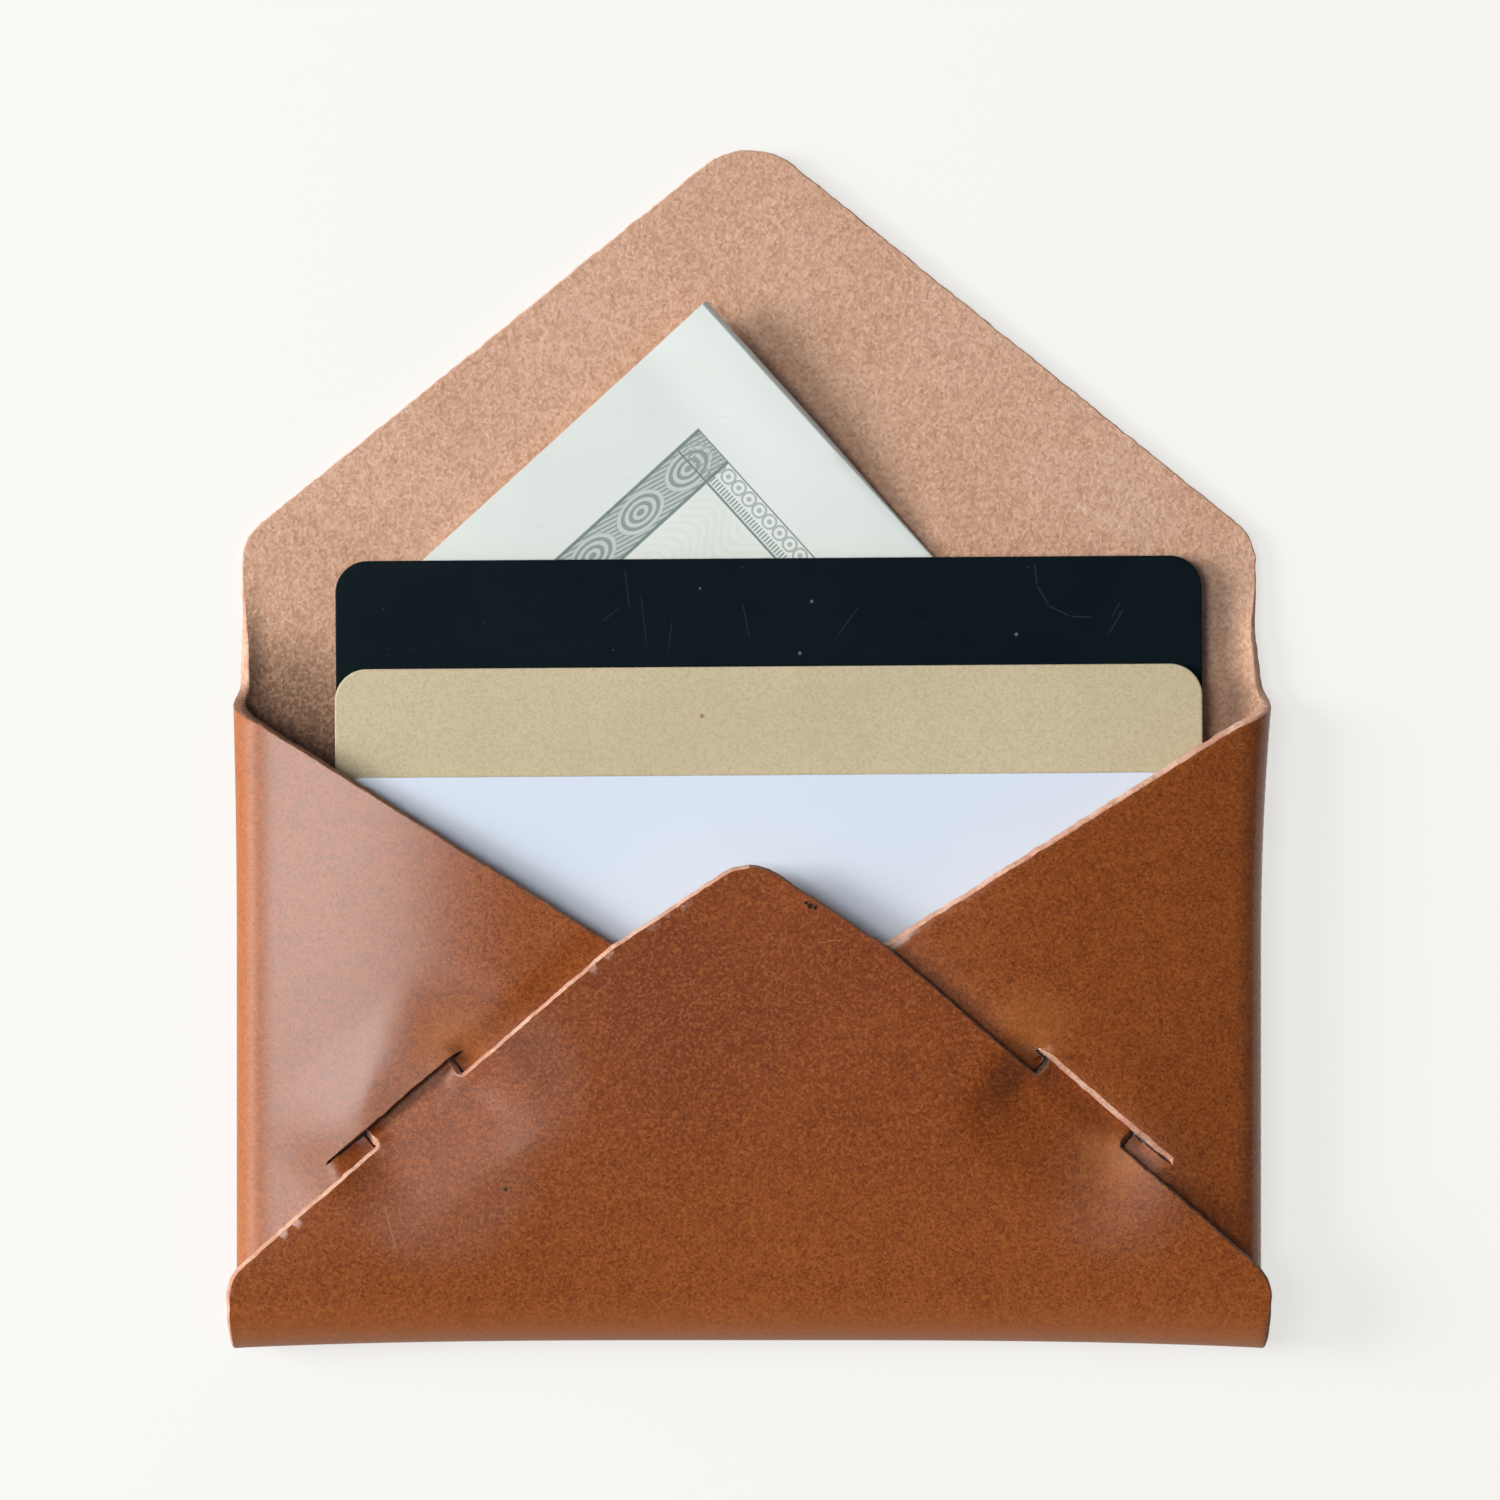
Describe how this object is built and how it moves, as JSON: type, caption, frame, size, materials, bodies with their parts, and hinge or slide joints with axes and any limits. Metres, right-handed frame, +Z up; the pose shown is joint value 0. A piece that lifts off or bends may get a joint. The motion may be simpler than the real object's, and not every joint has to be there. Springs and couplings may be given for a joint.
{
  "type": "envelope wallet",
  "caption": "Folded leather envelope wallet with a pointed open flap, tab-and-slit front, and cards and a folded note in its pocket.",
  "frame": {"origin": "under the middle of the object's outline, on the surface that its back lies on", "axes": "+X to the right across the pocket, +Y from the bottom fold to the tip of the open flap, +Z up out of the pocket's front"},
  "size_m": [0.1026, 0.1176, 0.0095],
  "materials": {
    "leather": "waxed",
    "white_plastic": "satin",
    "kraft_board": "matt",
    "black_plastic": "satin",
    "note_paper": "matt"
  },
  "bodies": {
    "root": {"leather_sheet": "leather", "white_card": "white_plastic", "tan_card": "kraft_board", "black_card": "black_plastic", "folded_note": "note_paper"}
  },
  "joints": []
}
